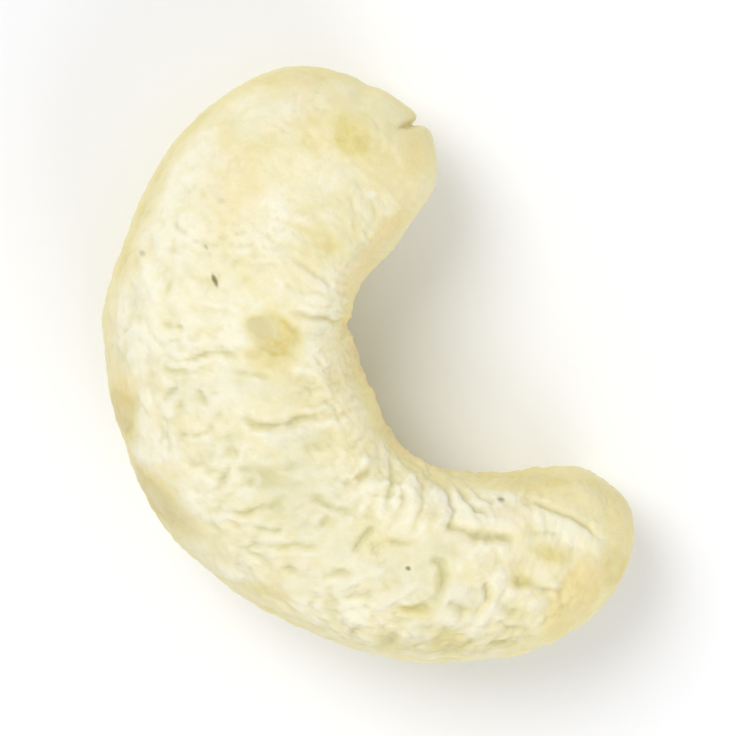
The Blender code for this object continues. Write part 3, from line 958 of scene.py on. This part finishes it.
def addSpecks(finish, place, ragged, colour):
    for middle, length, width, turn, darkness in specks:
        sockets = {
            "Vector": place,
            "Location": onTop(*middle),
            "Rotation": (0, 0, view["turn"] - turn),
            "Scale": (length, width, speckShape["halfDepth"]),
        }
        local = finish.node("Mapping", {"vector_type": "TEXTURE"}, sockets)
        reach = finish.node("VectorMath", {"operation": "LENGTH"}, {0: local}, "Value")
        reach = reach + (ragged - 0.5) * speckShape["raggedness"]
        dark = finish.step(reach, *speckShape["rim"]) * darkness
        colour = finish.mix(dark, colour, (*flesh["speck"], 1))
    return colour


def kernelFinish():
    finish = Finish("kernel_flesh")
    place = finish.millimetres()
    noises = {name: finish.noise(place, *terms) for name, terms in flesh["noises"].items()}
    cover = {name: finish.attribute(name) for name in flesh["bloomShares"]}
    bloom = mottled(flesh["bloom"], noises, flesh["mottleShares"])
    for name, share in flesh["bloomShares"].items():
        bloom = bloom + cover[name] * share
    colour = finish.node("ValToRGB", {"stops": flesh["bareToBloom"]}, {"Fac": bloom})
    # Painted shade: yellow on the flanks, less where the flesh is bare already
    flankShadeYellow = cover["flankShade"] * flesh["flankShadeYellow"] * (1 - cover["bare"])
    masks = {
        "peachy": finish.step(noises["peachy"], *flesh["peachyFrom"]),
        "greenish": finish.step(noises["greenish"], *flesh["greenishFrom"]),
        "thickBloom": cover["whiteBloomAndHighlight"],
        "dull": finish.attribute("dull"),
        "valleyShadeAndBare": cover["valleyShadeAndBare"],
        "yellow": flankShadeYellow + finish.attribute("butter"),
        "peach": finish.attribute("peach"),
        "lipReflection": finish.attribute("lipReflection"),
    }
    for name, (tinge, strength) in flesh["tinges"].items():
        colour = finish.mix(masks[name] * strength, colour, (*tinge, 1))
    colour = addSpecks(finish, place, noises["small"], colour)
    relief = mottled(0.0, noises, flesh["bumpShares"])
    bump = finish.node("Bump", {}, {"Height": relief, "Distance": mm, "Strength": 1.0})
    roughness = flesh["roughness"] + bloom * flesh["bloomRoughness"]
    finish.shade(Base_Color=colour, Normal=bump, Roughness=roughness)
    finish.shade(
        Subsurface_Weight=0.25,
        Subsurface_Radius=(1.0, 0.75, 0.35),
        Subsurface_Scale=0.7 * mm,
        IOR=1.45,
    )
    return finish.material


# The plain studio, in metres. A light stands towards a direction in the view: right, up in the
# picture, and towards the eye.
studio = {
    "floorHalf": 1.5,
    "floorColour": (0.955, 0.96, 0.985, 1),
    "floorRoughness": 0.8,
    "lights": {
        "key": {"towards": (-0.40, 0.44, 1.0), "distance": 0.45, "size": 0.24, "power": 0.86},
        "fill": {"towards": (0.5, -0.8, 0.7), "distance": 0.6, "size": 0.4, "power": 0.95},
    },
    "skyStrength": 0.57,
    "sensorWidth": 36.0,          # millimetres
    "clip": (0.01, 10.0),
}


def buildStage():
    stage = bmesh.new()
    bmesh.ops.create_grid(stage, x_segments=1, y_segments=1, size=studio["floorHalf"])
    mesh = bpy.data.meshes.new("floor")
    stage.to_mesh(mesh)
    stage.free()
    floor = bpy.data.objects.new("floor", mesh)
    bpy.context.scene.collection.objects.link(floor)
    finish = Finish("floor")
    finish.shade(Base_Color=studio["floorColour"], Roughness=studio["floorRoughness"])
    mesh.materials.append(finish.material)


# A direction in the scene from one in the view.
def fromView(right, up, out):
    flat = right * seenRight - up * seenDown
    return Vector((flat[0], flat[1], out))


def addLight(name, towards, distance, size, power):
    light = bpy.data.lights.new(name, "AREA")
    light.shape = "DISK"
    light.size = size
    light.energy = power
    lamp = bpy.data.objects.new(name, light)
    direction = fromView(*towards).normalized()
    lamp.location = direction * distance
    lamp.rotation_euler = direction.to_track_quat("Z", "Y").to_euler()
    bpy.context.scene.collection.objects.link(lamp)


def buildLights():
    for name, settings in studio["lights"].items():
        addLight(name, **settings)
    world = bpy.data.worlds.new("studio")
    world.use_nodes = True
    background = world.node_tree.nodes["Background"]
    background.inputs["Color"].default_value = (1, 1, 1, 1)
    background.inputs["Strength"].default_value = studio["skyStrength"]
    bpy.context.scene.world = world
    bpy.context.scene.view_settings.view_transform = "Standard"


# The camera looks against away, with the view's up at the top of the picture.
def viewRotation(away):
    right = fromView(1, 0, 0)
    up = away.cross(right)
    return Matrix((right, up, away)).transposed().to_quaternion()


def buildCamera():
    data = bpy.data.cameras.new("camera")
    data.sensor_width = studio["sensorWidth"]
    data.lens = data.sensor_width * view["distance"] / view["frameWidth"]
    data.clip_start, data.clip_end = studio["clip"]
    camera = bpy.data.objects.new("camera", data)
    aimRight, aimDown = view["aim"]
    flat = aimRight * seenRight + aimDown * seenDown
    aim = Vector((flat[0], flat[1], view["middleHeight"]))
    away = fromView(0, math.sin(view["lean"]), math.cos(view["lean"]))
    camera.location = (aim + away * view["distance"]) * mm
    camera.rotation_mode = "QUATERNION"
    camera.rotation_quaternion = viewRotation(away)
    bpy.context.scene.collection.objects.link(camera)
    bpy.context.scene.camera = camera


piece = buildKernel()
piece.data.materials.append(kernelFinish())
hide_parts("kernel")
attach(piece, "root")
print("kernel finished")
buildStage()
buildLights()
buildCamera()
print("stage, lights and camera made")
